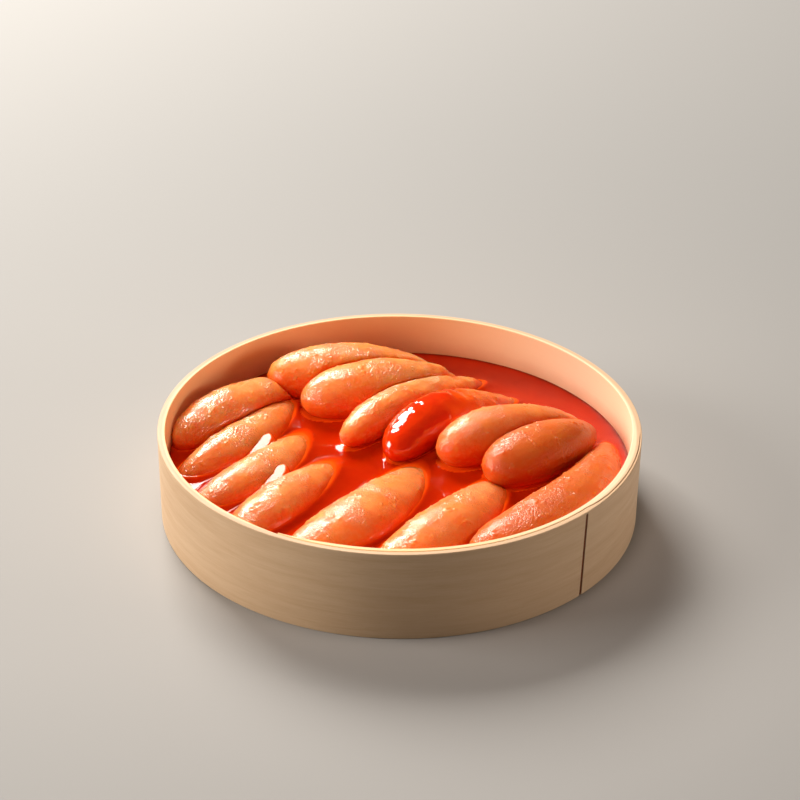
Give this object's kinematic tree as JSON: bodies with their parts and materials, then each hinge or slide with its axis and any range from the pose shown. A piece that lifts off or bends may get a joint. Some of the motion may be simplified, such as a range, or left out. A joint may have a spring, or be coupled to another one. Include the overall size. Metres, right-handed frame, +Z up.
{
  "type": "mentaiko",
  "caption": "Mentaiko: seasoned cod roe sacs lying side by side in thick red sauce, in a round open tub of thin bent wood with a lapped seam.",
  "frame": {"origin": "middle of the tub's underside, on the surface that it rests on", "axes": "+Z up; the side with the dark seam faces -Y and +X, and the picture's camera is on the -Y side"},
  "size_m": [0.2698, 0.27, 0.0516],
  "materials": {
    "pale_wood": "bare planed softwood",
    "dark_bark": "dark bark strip",
    "red_sauce": "thick wet red sauce",
    "cod_roe": "moist roe skin, finely grained"
  },
  "bodies": {
    "root": {"bentwood_hoop": "pale_wood", "base_plate": "pale_wood", "seam_strip": "dark_bark", "red_sauce": "red_sauce", "roe_sac_01": "cod_roe", "roe_sac_02": "cod_roe", "roe_sac_03": "cod_roe", "roe_sac_04": "cod_roe", "roe_sac_05": "cod_roe", "roe_sac_06": "cod_roe", "roe_sac_07": "cod_roe", "roe_sac_08": "cod_roe", "roe_sac_09": "cod_roe", "roe_sac_10": "cod_roe", "roe_sac_11": "cod_roe", "roe_sac_12": "cod_roe", "roe_sac_13": "cod_roe"}
  },
  "joints": []
}
